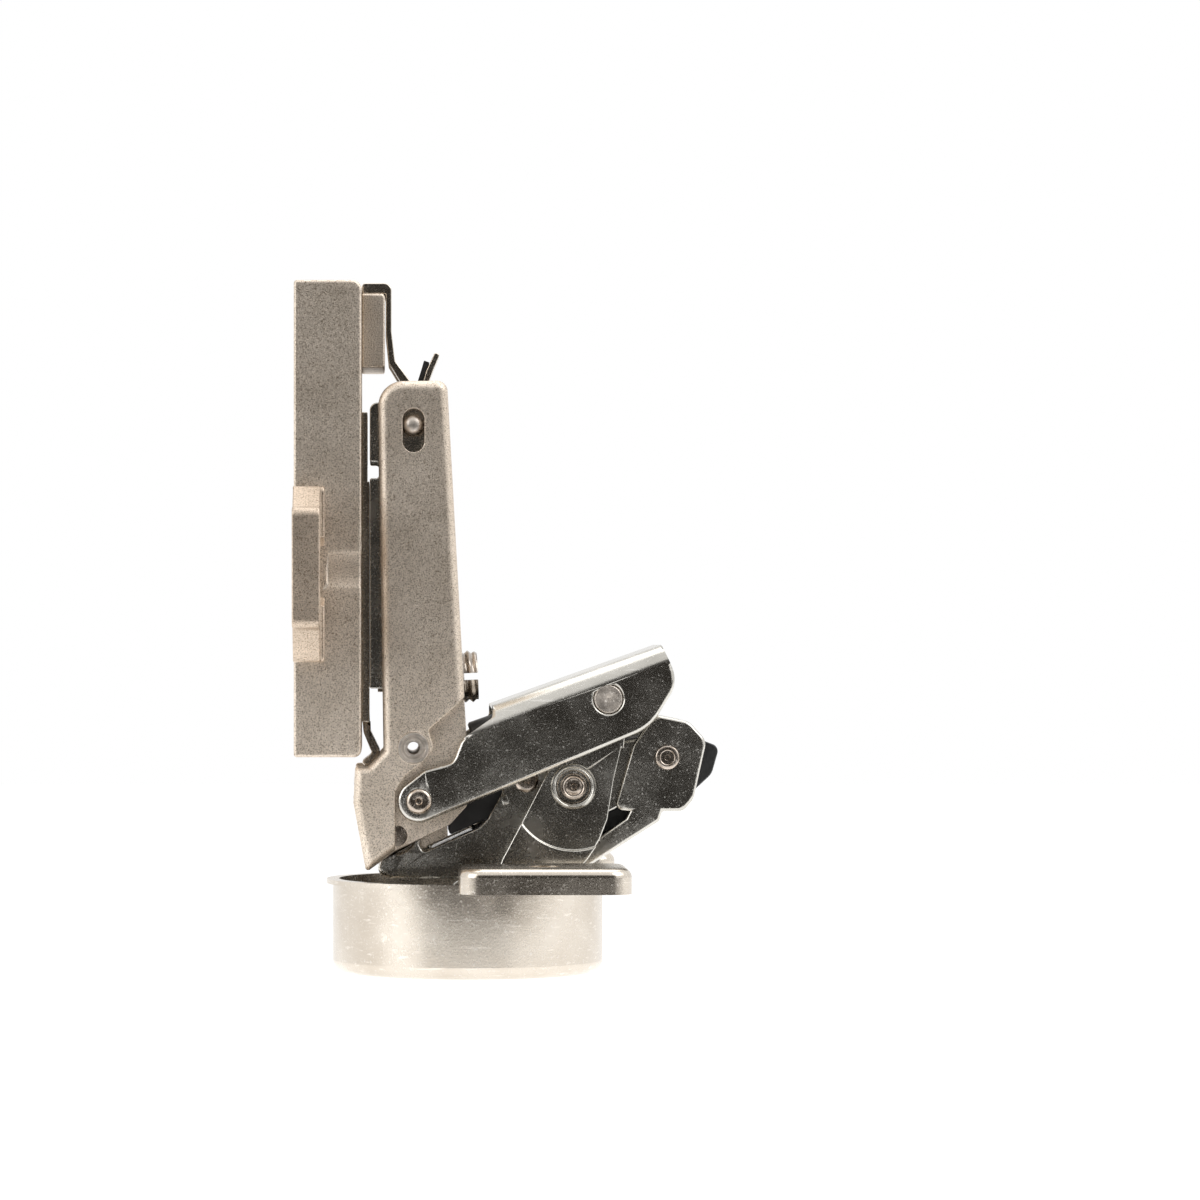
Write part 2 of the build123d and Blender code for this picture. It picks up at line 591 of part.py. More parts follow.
# Black plastic housing between the plates of the inner lever
housing_outline = [
    (19.9, -29.3), (19.9, -33.8), (24.2, -31.9), (27.5, -33.4), (40.5, -33.4), (44.0, -31.3), (50.8, -28.6),
    (53.7, -25.9), (54.7, -22.4), (52.6, -21.6), (46.0, -20.9), (30.5, -23.5), (24.5, -27.0),
]
with BuildPart() as damper_housing:
    block(housing_outline, [0.5, 0.3, 0.5, 1.0, 1.0, 1.5, 2.0, 2.0, 1.0, 1.0, 2.0, 2.0, 1.5], housing_half)
    shaft(rivet_f, housing_rivet_radius, arm_half, Mode.SUBTRACT)
damper_housing.part.label = "damper_housing"
export_step(damper_housing.part, "parts/damper_housing.step")

with BuildPart() as housing_rivet:
    shaft(rivet_f, housing_rivet_radius, inner_far + 0.1)
    discs(rivet_f, link_rivet_head, inner_far, inner_far + head_thick)
housing_rivet.part.label = "housing_rivet"
export_step(housing_rivet.part, "parts/housing_rivet.step")

# Link rivets, one each side
with BuildPart() as link_rivets:
    discs(pivot_d, link_rivet_radius, inner_near, link_far + 0.1)
    discs(pivot_d, link_rivet_head, link_far + running, link_far + running + head_thick)
link_rivets.part.label = "link_rivets"
export_step(link_rivets.part, "parts/link_rivets.step")

# Link from the outer end of the inner lever down into the cup
link_plate = [(46.0, -18.2), (50.6, -19.1), (52.9, -21.6), (51.2, -29.1), (49.9, -30.6), (40.9, -30.6),
              (43.5, -22.0)]
link_arm = [(47.4, -30.0), (46.8, -31.9), (37.4, -37.9), (33.9, -43.9), (23.0, -45.1), (22.6, -40.3),
            (32.7, -40.2), (36.3, -35.9), (42.5, -31.6), (43.5, -30.0)]
link_web = [(46.9, -30.6), (46.6, -31.9), (38.6, -37.1), (38.0, -36.0), (45.6, -31.1)]
with BuildPart() as cup_link:
    plates(link_plate, [1.5, 2.0, 1.8, 2.0, 1.2, 1.0, 2.0], link_near, link_far)
    plates(link_arm, [0.3, 0.6, 2.5, 2.5, 0.5, 0.5, 2.0, 2.0, 0.3, 0.3], link_near, link_far)
    discs(link_pivot, link_eye_bore + 0.7, link_near, link_far)
    block(link_web, 0, link_far)
    shaft(link_pivot, link_eye_bore, arm_half, Mode.SUBTRACT)
    shaft(pivot_d, link_rivet_radius + snug, arm_half, Mode.SUBTRACT)
cup_link.part.label = "cup_link"
export_step(cup_link.part, "parts/cup_link.step")

# Pressed cup with its flange and the two wings for the door screws
wing_left = wing_x - wing_width / 2
wing_right = wing_x + wing_width / 2
with BuildPart() as cup:
    with Locations((cup_x, 0, door_face)):
        Cylinder(cup_radius, cup_depth, align=(Align.CENTER, Align.CENTER, Align.MAX))
    fillet(cup.edges().filter_by(GeomType.CIRCLE).sort_by(Axis.Z)[0], 1.6)
    with Locations((cup_x, 0, door_face)):
        Cylinder(flange_radius, flange_thick, align=(Align.CENTER, Align.CENTER, Align.MIN))
    for side in (1, -1):
        with BuildSketch(Plane.XY.offset(door_face)):
            with Locations((wing_x, side * (wing_far + wing_near) / 2)):
                RectangleRounded(wing_width, wing_far - wing_near, 3.0)
        extrude(amount=wing_high)
    fillet(cup.edges().filter_by(lambda e: e.center().Z > door_face + wing_high - 0.01), 1.1)
    for side in (1, -1):
        with BuildSketch(Plane.XY.offset(door_face)):
            with Locations((wing_x, side * (wing_far + wing_near) / 2)):
                RectangleRounded(wing_width - 2 * wing_sheet, wing_far - wing_near - 2 * wing_sheet, 2.2)
            with Locations((cup_x, 0)):
                Circle(flange_radius, mode=Mode.SUBTRACT)
        extrude(amount=wing_high - wing_sheet, mode=Mode.SUBTRACT)
    with Locations((cup_x, 0, cup_floor)):
        Cylinder(cup_inner, cup_depth + wing_high + 2, align=(Align.CENTER, Align.CENTER, Align.MIN),
                 mode=Mode.SUBTRACT)
    with Locations((wing_x, wing_screw, door_face), (wing_x, -wing_screw, door_face)):
        Cylinder(wing_screw_hole, 20, mode=Mode.SUBTRACT)
cup.part.label = "cup"
export_step(cup.part, "parts/cup.step")

# Folded cradle on the floor of the cup that holds both cup pins
lug_far = inner_near - 0.1
lug_near = lug_far - sheet
outer_lug = [(14.2, cup_floor), (14.9, -45.0), (16.4, -42.8), (18.8, -42.8), (20.6, -45.0), (26.0, cup_floor)]
inner_lug = [(21.0, cup_floor), (20.4, -42.0), (21.4, -40.6), (23.7, -40.6), (25.0, -42.0), (27.5, cup_floor)]
with BuildPart() as cup_cradle:
    box_between((cup_x - 9.2, -cradle_far, cup_floor), (cup_x + 8.6, cradle_far, cup_floor + cradle_sheet))
    plates(outer_lug, [0, 1.0, 1.5, 1.5, 1.0, 0], cradle_near, cradle_far)
    plates(inner_lug, [0, 1.0, 1.0, 1.0, 1.0, 0], lug_near, lug_far)
    shaft(cup_pivot, cup_pin_radius, arm_half + 3, Mode.SUBTRACT)
    shaft(link_pivot, cup_pin_radius, arm_half, Mode.SUBTRACT)
cup_cradle.part.label = "cup_cradle"
export_step(cup_cradle.part, "parts/cup_cradle.step")

with BuildPart() as lever_cup_pin:
    shaft(cup_pivot, cup_pin_radius, cradle_far)
lever_cup_pin.part.label = "lever_cup_pin"
export_step(lever_cup_pin.part, "parts/lever_cup_pin.step")

with BuildPart() as link_cup_pin:
    shaft(link_pivot, cup_pin_radius, link_far)
link_cup_pin.part.label = "link_cup_pin"
export_step(link_cup_pin.part, "parts/link_cup_pin.step")
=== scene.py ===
import json
import math

import bmesh
import bpy
from mathutils import Matrix, Vector
from mathutils.bvhtree import BVHTree


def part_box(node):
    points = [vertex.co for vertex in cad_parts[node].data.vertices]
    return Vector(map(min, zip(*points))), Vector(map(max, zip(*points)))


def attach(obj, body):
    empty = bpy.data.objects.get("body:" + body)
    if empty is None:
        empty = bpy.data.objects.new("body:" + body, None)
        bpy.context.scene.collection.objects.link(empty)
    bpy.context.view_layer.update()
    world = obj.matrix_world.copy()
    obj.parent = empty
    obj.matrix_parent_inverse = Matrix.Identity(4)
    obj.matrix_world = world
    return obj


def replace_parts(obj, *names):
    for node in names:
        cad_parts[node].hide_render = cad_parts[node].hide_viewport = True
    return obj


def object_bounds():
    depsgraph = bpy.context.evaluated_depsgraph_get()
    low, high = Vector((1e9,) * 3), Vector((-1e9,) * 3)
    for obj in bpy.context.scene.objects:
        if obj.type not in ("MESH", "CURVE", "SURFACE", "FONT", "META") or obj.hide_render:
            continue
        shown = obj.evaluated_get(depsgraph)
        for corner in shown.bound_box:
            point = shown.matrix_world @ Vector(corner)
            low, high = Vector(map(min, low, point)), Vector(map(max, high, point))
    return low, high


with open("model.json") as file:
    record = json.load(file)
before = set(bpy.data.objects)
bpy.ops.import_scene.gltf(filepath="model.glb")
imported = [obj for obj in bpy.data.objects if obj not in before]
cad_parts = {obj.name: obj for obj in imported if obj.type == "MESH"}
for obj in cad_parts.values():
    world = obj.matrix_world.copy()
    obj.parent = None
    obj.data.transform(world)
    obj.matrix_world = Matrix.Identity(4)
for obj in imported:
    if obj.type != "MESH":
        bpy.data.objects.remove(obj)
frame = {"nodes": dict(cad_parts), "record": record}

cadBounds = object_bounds()
lowest = Vector(cadBounds[0])
mm = 0.001
scene = bpy.context.scene
scene.view_settings.view_transform = "Standard"

record = frame["record"]
bodyOfNode = {node: body for body, nodes in record["behaviour"]["bodies"].items() for node in nodes}
slotOfNode = {part["node"]: part["material_slot"] for part in record["subparts"]}


# Finishes
def startMaterial(name, metallic=1.0):
    material = bpy.data.materials.new(name)
    material.use_nodes = True
    nodes, links = material.node_tree.nodes, material.node_tree.links
    shader = nodes["Principled BSDF"]
    shader.inputs["Metallic"].default_value = metallic
    coords = nodes.new("ShaderNodeTexCoord")
    return material, nodes, links, shader, coords.outputs["Object"]


def noiseAt(nodes, links, place, scale, detail=3.0, stretch=(1, 1, 1), turn=0.0):
    mapping = nodes.new("ShaderNodeMapping")
    mapping.inputs["Scale"].default_value = stretch
    mapping.inputs["Rotation"].default_value = (0, turn, 0)
    links.new(place, mapping.inputs["Vector"])
    noise = nodes.new("ShaderNodeTexNoise")
    noise.inputs["Scale"].default_value = scale
    noise.inputs["Detail"].default_value = detail
    links.new(mapping.outputs["Vector"], noise.inputs["Vector"])
    return noise.outputs["Fac"]


def ramp(nodes, links, value, stops):
    node = nodes.new("ShaderNodeValToRGB")
    node.color_ramp.elements.remove(node.color_ramp.elements[0])
    for index, (place, colour) in enumerate(stops):
        stop = node.color_ramp.elements[0] if index == 0 else node.color_ramp.elements.new(place)
        stop.position = place
        stop.color = (*colour, 1)
    links.new(value, node.inputs["Fac"])
    return node.outputs["Color"]


def blendColours(nodes, links, way, factor, first, second):
    node = nodes.new("ShaderNodeMix")
    node.data_type = "RGBA"
    node.blend_type = way
    node.inputs["Factor"].default_value = factor
    links.new(first, node.inputs["A"])
    links.new(second, node.inputs["B"])
    return node.outputs["Result"]


noiseSpan = (0.3, 0.7)  # nearly all of the noise lies between these values


def spread(nodes, links, value, low, high):
    node = nodes.new("ShaderNodeMapRange")
    node.inputs["From Min"].default_value = noiseSpan[0]
    node.inputs["From Max"].default_value = noiseSpan[1]
    node.inputs["To Min"].default_value = low
    node.inputs["To Max"].default_value = high
    links.new(value, node.inputs["Value"])
    return node.outputs["Result"]


def bumpFrom(nodes, links, height, bump, before=None):
    node = nodes.new("ShaderNodeBump")
    node.inputs["Strength"].default_value = bump["strength"]
    node.inputs["Distance"].default_value = bump["depth"]
    links.new(height, node.inputs["Height"])
    if before:
        links.new(before, node.inputs["Normal"])
    return node.outputs["Normal"]


def grey(value):
    return (value, value, value)


# Matte nickel on die-cast zinc: cloudy, with fine dark speckle and a grainy skin. Its warm brown tone is
# partly painted reflection of the wooden boards round the hinge
castLook = {
    "light": (0.79, 0.70, 0.60), "dark": (0.67, 0.585, 0.49), "cloud": 220, "cloudStops": (0.30, 0.72),
    "speck": (0.40, 0.345, 0.285), "plain": grey(0.95), "bright": grey(1.20),
    "speckle": 7600, "speckStops": (0.32, 0.46, 0.66), "grain": 5200, "roughness": (0.44, 0.60),
    "grainBump": {"depth": 0.03 * mm, "strength": 0.55}, "speckBump": {"depth": 0.02 * mm, "strength": 0.35},
}
# The wing bar takes a darker, browner copy of the cast look: painted reflection of the wooden boards beside
# it
barPaintedReflectionLook = dict(castLook, light=(0.70, 0.585, 0.475), dark=(0.57, 0.475, 0.38))


def castZinc(name, look):
    material, nodes, links, shader, place = startMaterial(name)
    cloud = noiseAt(nodes, links, place, look["cloud"], detail=4)
    base = ramp(nodes, links, cloud, zip(look["cloudStops"], (look["dark"], look["light"])))
    specks = noiseAt(nodes, links, place, look["speckle"], detail=2)
    tones = (look["speck"], look["plain"], look["bright"])
    dots = ramp(nodes, links, specks, zip(look["speckStops"], tones))
    links.new(blendColours(nodes, links, "MULTIPLY", 1.0, base, dots), shader.inputs["Base Color"])
    grain = noiseAt(nodes, links, place, look["grain"])
    links.new(spread(nodes, links, grain, *look["roughness"]), shader.inputs["Roughness"])
    fine = bumpFrom(nodes, links, grain, look["grainBump"])
    links.new(bumpFrom(nodes, links, specks, look["speckBump"], fine), shader.inputs["Normal"])
    return material


# Polished nickel on rolled steel: dark, with light pin marks and hairline scratches
steelLook = {
    "light": (0.66, 0.635, 0.585), "dark": (0.52, 0.50, 0.455), "cloud": 180, "cloudStops": (0.30, 0.70),
    "mark": (0.95, 0.92, 0.86), "marks": 4200, "markStops": (0.60, 0.74), "markShare": 0.35,
    "hairline": 700, "lay": math.radians(-22), "stretch": (0.12, 1, 3.2), "lineStops": (0.60, 0.70),
    "lineTone": 0.22, "lineShare": 0.6, "roughness": (0.17, 0.30), "markRoughness": 0.28,
    "lineBump": {"depth": 0.010 * mm, "strength": 0.35}, "markBump": {"depth": 0.012 * mm, "strength": 0.5},
}


def polishedSteel(name, look):
    material, nodes, links, shader, place = startMaterial(name)
    cloud = noiseAt(nodes, links, place, look["cloud"], detail=5)
    base = ramp(nodes, links, cloud, zip(look["cloudStops"], (look["dark"], look["light"])))
    pins = noiseAt(nodes, links, place, look["marks"], detail=2)
    dots = ramp(nodes, links, pins, zip(look["markStops"], (grey(0.0), look["mark"])))
    base = blendColours(nodes, links, "SCREEN", look["markShare"], base, dots)
    lines = noiseAt(nodes, links, place, look["hairline"], detail=4, stretch=look["stretch"],
                    turn=look["lay"])
    streaks = ramp(nodes, links, lines, zip(look["lineStops"], (grey(0.0), grey(look["lineTone"]))))
    base = blendColours(nodes, links, "ADD", look["lineShare"], base, streaks)
    links.new(base, shader.inputs["Base Color"])
    matte = nodes.new("ShaderNodeMath")
    matte.operation = "MULTIPLY_ADD"
    links.new(dots, matte.inputs[0])
    matte.inputs[1].default_value = look["markRoughness"]
    links.new(spread(nodes, links, cloud, *look["roughness"]), matte.inputs[2])
    links.new(matte.outputs["Value"], shader.inputs["Roughness"])
    scratched = bumpFrom(nodes, links, lines, look["lineBump"])
    links.new(bumpFrom(nodes, links, pins, look["markBump"], scratched), shader.inputs["Normal"])
    return material


# Bright nickel of the cup, warmer and smoother
cupLook = dict(steelLook, light=(0.74, 0.675, 0.59), dark=(0.60, 0.53, 0.445), roughness=(0.17, 0.29),
               cloud=120, marks=3400, markRoughness=0.15, lay=0.0)
# Turned rivet heads, brown and polished, and the matte ends of the axle, the knuckle and the latch pin
rivetLook = dict(steelLook, light=(0.62, 0.54, 0.46), dark=(0.44, 0.37, 0.31), roughness=(0.18, 0.30),
                 cloud=900, marks=3400, markRoughness=0.2, lay=0.0)
flushLook = dict(rivetLook, light=(0.69, 0.625, 0.555), dark=(0.575, 0.52, 0.465), roughness=(0.40, 0.52))
screwLook = dict(steelLook, light=(0.46, 0.41, 0.36), dark=(0.30, 0.26, 0.225), roughness=(0.20, 0.34),
                 cloud=800, marks=3000, lay=0.0)
springLook = dict(steelLook, light=(0.30, 0.29, 0.28), dark=(0.16, 0.155, 0.15), roughness=(0.25, 0.4),
                  cloud=900, marks=3000, lay=0.0)
plasticLook = {
    "light": grey(0.030), "dark": grey(0.016), "cloud": 300, "cloudStops": (0.3, 0.7),
    "grain": 3200, "roughness": (0.38, 0.52), "grainBump": {"depth": 0.015 * mm, "strength": 0.4},
}


def mouldedPlastic(look):
    material, nodes, links, shader, place = startMaterial("black_plastic_moulded", metallic=0.0)
    cloud = noiseAt(nodes, links, place, look["cloud"])
    base = ramp(nodes, links, cloud, zip(look["cloudStops"], (look["dark"], look["light"])))
    links.new(base, shader.inputs["Base Color"])
    grain = noiseAt(nodes, links, place, look["grain"])
    links.new(spread(nodes, links, grain, *look["roughness"]), shader.inputs["Roughness"])
    links.new(bumpFrom(nodes, links, grain, look["grainBump"]), shader.inputs["Normal"])
    return material


finishes = {
    "cast_zinc": castZinc("cast_zinc_plate", castLook),
    "cast_painted_reflection": castZinc("cast_zinc_painted_wood_reflection", barPaintedReflectionLook),
    "plated_steel": polishedSteel("nickel_plated_steel", steelLook),
    "cup_steel": polishedSteel("bright_nickel_cup", cupLook),
    "rivet_steel": polishedSteel("turned_rivet_steel", rivetLook),
    "flush_rivet": polishedSteel("flush_rivet_steel", flushLook),
    "screw_steel": polishedSteel("dark_screw_steel", screwLook),
    "spring_steel": polishedSteel("drawn_spring_steel", springLook),
    "black_plastic": mouldedPlastic(plasticLook),
}
# the wing bar gets the copy with painted reflection of the wood
finishOfNode = {**slotOfNode, "wing_bar": "cast_painted_reflection"}
print("finishes:", len(finishes))

for name, piece in frame["nodes"].items():
    piece.data.materials.clear()
    piece.data.materials.append(finishes[finishOfNode[name]])


# Pieces made from the frame
weld = 1e-7  # points as close as this become one


def addObject(name, data):
    thing = bpy.data.objects.new(name, data)
    scene.collection.objects.link(thing)
    return thing


def meshFrom(bm, name):
    mesh = bpy.data.meshes.new(name)
    bm.to_mesh(mesh)
    bm.free()
    return mesh


def smooth(mesh, crease=None):
    mesh.polygons.foreach_set("use_smooth", [True] * len(mesh.polygons))
    if crease:
        mesh.set_sharp_from_angle(angle=crease)


def newPiece(name, mesh, node, finish=None):
    piece = addObject(name, mesh)
    mesh.materials.clear()
    mesh.materials.append(finishes[finish or finishOfNode[node]])
    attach(piece, bodyOfNode[node])
    return piece


# Rolled or cast edges: the node's own surface with its sharp edges rounded over
edgeRounding = {  # radius and merging distance in mm, and whether flat faces are joined first
    "arm_body": (0.12, 0.05, True), "plate_body": (0.38, 0.05, True), "rear_catch": (0.30, 0.02, True),
    "wing_bar": (0.20, 0.05, False), "outer_lever": (0.50, 0.05, True), "cup_lever": (0.18, 0.05, False),
    "inner_lever": (0.36, 0.02, True), "cup_link": (0.42, 0.02, True), "clip_carriage": (0.15, 0.02, True),
    "clip_rail": (0.12, 0.02, False), "release_lever": (0.12, 0.02, True),
    "damper_housing": (0.20, 0.02, True),
}
sharpAngle = math.radians(32)  # an edge sharper than this is rounded
flatAngle = math.radians(1.0)  # faces that meet under this angle are joined
edgeSegments = 3
cornerShare = 0.6  # of the radius: the deepest that a rounded corner lies
outsideSlack = 0.002 * mm  # and how far outside the surface it may stand
sliver = 0.003 * mm  # narrower faces are dissolved
evenedWeight = 100  # large faces lead the normals


# The outer lever's web runs into its side plates in a wide bend
webBend = {"start": (25.4 * mm, -17.0 * mm), "end": (47.0 * mm, -9.3 * mm), "radius": 2.7 * mm,
           "cadRadius": 1.5 * mm, "cuts": 6, "slack": 0.06 * mm}


def skinAt(deep, radius, half):
    rest = radius - min(max(deep, 0.0), radius)
    return half - radius + math.sqrt(radius ** 2 - rest ** 2)


def downFromWeb(look):
    along = (Vector(look["end"]) - Vector(look["start"])).normalized()
    return Vector((along.y, -along.x))


def depthBelowWeb(place, look):
    return (Vector((place.x, place.z)) - Vector(look["start"])).dot(downFromWeb(look))


def widenBend(bm, look):
    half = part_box("outer_lever")[1].y
    down = downFromWeb(look)
    for cut in range(1, look["cuts"] + 1):
        deep = look["cadRadius"] + (look["radius"] - look["cadRadius"]) * cut / look["cuts"]
        point = Vector(look["start"]) + down * deep
        bmesh.ops.bisect_plane(bm, geom=bm.verts[:] + bm.edges[:] + bm.faces[:], dist=weld,
                               plane_co=(point.x, 0, point.y), plane_no=(down.x, 0, down.y))
    for vert in bm.verts:
        deep = depthBelowWeb(vert.co, look)
        if deep < look["radius"] and abs(vert.co.y) > skinAt(deep, look["cadRadius"], half) - look["slack"]:
            vert.co.y = math.copysign(skinAt(deep, look["radius"], half), vert.co.y)


def inWebBend(edge, look):
    shallowest = min(depthBelowWeb(vert.co, look) for vert in edge.verts)
    return shallowest < look["radius"] - look["slack"]


def applied(draft):
    graph = bpy.context.evaluated_depsgraph_get()
    evaluated = draft.evaluated_get(graph)
    return bpy.data.meshes.new_from_object(evaluated, preserve_all_data_layers=True, depsgraph=graph)


def withoutSlivers(bm):
    bmesh.ops.remove_doubles(bm, verts=bm.verts, dist=sliver)
    bmesh.ops.dissolve_degenerate(bm, dist=sliver, edges=bm.edges)
    bmesh.ops.triangulate(bm, faces=bm.faces, quad_method="BEAUTY", ngon_method="BEAUTY")
    bmesh.ops.remove_doubles(bm, verts=bm.verts, dist=sliver)
    bmesh.ops.dissolve_degenerate(bm, dist=sliver, edges=bm.edges)
    folded = {}
    for face in bm.faces:
        folded.setdefault(frozenset(face.verts), []).append(face)
    doubled = [face for same in folded.values() if len(same) > 1 for face in same]
    bmesh.ops.delete(bm, geom=doubled, context="FACES")


def roundedCopy(node, radius, merged, joinFlats):
    bm = bmesh.new()
    bm.from_mesh(frame["nodes"][node].data)
    bmesh.ops.remove_doubles(bm, verts=bm.verts, dist=merged * mm)
    if joinFlats:
        bmesh.ops.dissolve_limit(bm, angle_limit=flatAngle, verts=bm.verts, edges=bm.edges)
    if node == "outer_lever":
        widenBend(bm, webBend)
    surface = BVHTree.FromBMesh(bm)
    weight = bm.edges.layers.float.new("bevel_weight_edge")
    for edge in bm.edges:
        turned = len(edge.link_faces) == 2 and edge.calc_face_angle(0.0) > sharpAngle
        bent = node == "outer_lever" and inWebBend(edge, webBend)
        edge[weight] = 1.0 if turned and not bent else 0.0
    mesh = meshFrom(bm, node + "_rounded")
    oldNormals = mesh.attributes.get("custom_normal")
    if oldNormals:
        mesh.attributes.remove(oldNormals)
    smooth(mesh)
    draft = addObject(node + "_draft", mesh)
    bevel = draft.modifiers.new("edge", "BEVEL")
    bevel.limit_method = "WEIGHT"
    bevel.width = radius * mm
    bevel.segments = edgeSegments
    bevel.use_clamp_overlap = False
    draft.data = applied(draft)
    draft.modifiers.clear()
    bm = bmesh.new()
    bm.from_mesh(draft.data)
    # a corner that stands outside the unrounded surface, or deeper than a rounding goes, is put back on it
    for vert in bm.verts:
        nearest, facing, _, apart = surface.find_nearest(vert.co)
        outside = (vert.co - nearest).dot(facing) > outsideSlack
        if outside or apart > cornerShare * radius * mm:
            vert.co = nearest
    withoutSlivers(bm)
    bm.to_mesh(draft.data)
    bm.free()
    evened = draft.modifiers.new("evened", "WEIGHTED_NORMAL")
    evened.weight = evenedWeight
    evened.keep_sharp = True
    finished = applied(draft)
    bpy.data.objects.remove(draft)
    piece = newPiece(node + "_piece", finished, node)
    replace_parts(piece, node)


for node, (radius, merged, joinFlats) in edgeRounding.items():
    roundedCopy(node, radius, merged, joinFlats)
print("rounded pieces:", len(edgeRounding))


# Rivets and pins: profiles are (radius, distance from the middle plane), turned about their own axis
turnSteps = 48
turnedCrease = math.radians(40)  # sharper edges stay sharp in the shading


def turnedSolid(bm, centre, profile, side):
    rings = []
    for radius, far in profile:
        y = side * far * mm
        if radius == 0:
            rings.append([bm.verts.new((centre[0] * mm, y, centre[1] * mm))])
            continue
        ring = []
        for step in range(turnSteps):
            angle = 2 * math.pi * step / turnSteps
            ring.append(bm.verts.new((centre[0] * mm + radius * mm * math.cos(angle), y,
                                      centre[1] * mm + radius * mm * math.sin(angle))))
        rings.append(ring)
    for first, second in zip(rings, rings[1:]):
        for step in range(turnSteps):
            after = (step + 1) % turnSteps
            if len(first) == 1:
                bm.faces.new((first[0], second[step], second[after]))
            elif len(second) == 1:
                bm.faces.new((first[step], second[0], first[after]))
            else:
                bm.faces.new((first[step], second[step], second[after], first[after]))


def turnedPiece(look):
    bm = bmesh.new()
    for side in (-1, 1):
        turnedSolid(bm, look["centre"], look["profile"], side)
    bmesh.ops.remove_doubles(bm, verts=bm.verts, dist=weld)
    bmesh.ops.recalc_face_normals(bm, faces=bm.faces)
    mesh = meshFrom(bm, look["name"])
    smooth(mesh, turnedCrease)
    return newPiece(look["name"], mesh, look["node"], look.get("finish"))


# Half profiles run from the middle of the head to the end of the shank, so two of them make one pin
rivets = [
    {"name": "outerLeverPin", "node": "outer_lever_pin", "centre": (15.99, -29.28),
     "profile": [(0, 11.32), (0.34, 11.30), (0.46, 11.46), (0.95, 11.54), (1.30, 11.48), (1.52, 11.34),
                 (1.60, 11.18), (1.60, 11.05), (1.2, 11.05), (1.2, 0)]},
    {"name": "springAxle", "node": "spring_axle", "centre": (15.29, -22.45), "finish": "flush_rivet",
     "profile": [(0.77, 0), (0.77, 10.85), (0.86, 11.0), (1.12, 11.0), (1.22, 10.86), (1.48, 10.86),
                 (1.58, 11.0), (1.92, 11.0), (2.04, 10.88), (2.04, 0)]},
    {"name": "knuckleRivets", "node": "knuckle_rivets", "centre": (40.17, -16.20), "finish": "flush_rivet",
     "profile": [(0, 10.96), (0.22, 10.96), (0.30, 11.0), (1.66, 11.0), (1.79, 10.88), (1.79, 8.55),
                 (0, 8.55)]},
    {"name": "linkRivets", "node": "link_rivets", "centre": (47.83, -23.72),
     "profile": [(0, 8.86), (0.30, 8.86), (0.40, 8.96), (0.88, 8.96), (0.98, 9.05), (1.30, 9.05),
                 (1.50, 8.94), (1.53, 8.80), (1.53, 8.55), (1.2, 8.55), (1.2, 6.2), (0, 6.2)]},
    {"name": "crossRivets", "node": "cross_rivets", "centre": (35.76, -27.41),
     "profile": [(0, 10.22), (0.30, 10.22), (0.42, 10.36), (0.95, 10.36), (1.05, 10.28), (1.22, 10.28),
                 (1.34, 10.38), (1.56, 10.34), (1.66, 10.2), (1.66, 9.9), (1.3, 9.9), (1.3, 6.2), (0, 6.2)]},
    {"name": "housingRivet", "node": "housing_rivet", "centre": (29.86, -26.75),
     "profile": [(0, 7.62), (0.28, 7.62), (0.40, 7.74), (0.95, 7.76), (1.30, 7.70), (1.50, 7.56),
                 (1.53, 7.3), (1.1, 7.3), (1.1, 0)]},
]
# The latch pin ends in domes that show in the arm's slots
pinLow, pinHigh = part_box("latch_pin")
pinRadius, pinEnd = (pinHigh.x - pinLow.x) / 2 / mm, pinHigh.y / mm
domeSteps = [(0, 0), (0.35, 0.06), (0.65, 0.22), (0.88, 0.50), (1, 0.9)]  # share of the radius, drop in mm
dome = [(share * pinRadius, pinEnd - drop) for share, drop in domeSteps]
rivets.append({"name": "latchPinDomes", "node": "latch_pin", "finish": "flush_rivet",
               "centre": ((pinLow.x + pinHigh.x) / 2 / mm, (pinLow.z + pinHigh.z) / 2 / mm),
               "profile": dome + [(pinRadius, 0)]})
for rivet in rivets:
    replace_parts(turnedPiece(rivet), rivet["node"])

# A ring pressed up out of the cup lever round the cross rivet
embossed = [
    {"name": "crossEmboss", "node": "cup_lever", "centre": (35.76, -27.41),
     "profile": [(2.0, 9.88), (2.14, 10.04), (2.32, 10.06), (2.44, 9.96), (2.56, 10.04), (2.78, 9.98),
                 (2.92, 9.72), (2.92, 9.5), (2.0, 9.5), (2.0, 9.88)]},
]
for ring in embossed:
    turnedPiece(ring)
print("turned pieces:", len(rivets) + len(embossed))


# Small flat pieces: an outline of (x, z) points in mm, between two distances from the middle plane.
# One that starts at the middle plane goes right across, and the others come once on each side.
flats = [
    {"name": "noseTongue", "node": "arm_body", "near": 0.0, "far": 6.0,
     "outline": [(15.9, -33.3), (16.1, -31.2), (19.6, -30.6), (19.75, -34.0), (17.2, -35.1), (16.95, -35.5),
                 (16.2, -35.6), (15.7, -34.7)]},
    {"name": "damperTab", "node": "inner_lever", "near": 7.2, "far": 8.0,
     "outline": [(26.45, -28.75), (27.25, -28.45), (27.65, -29.65), (26.85, -29.95)]},
]
flatEdge = {"radius": 0.12 * mm, "segments": 2}
crease = math.radians(35)


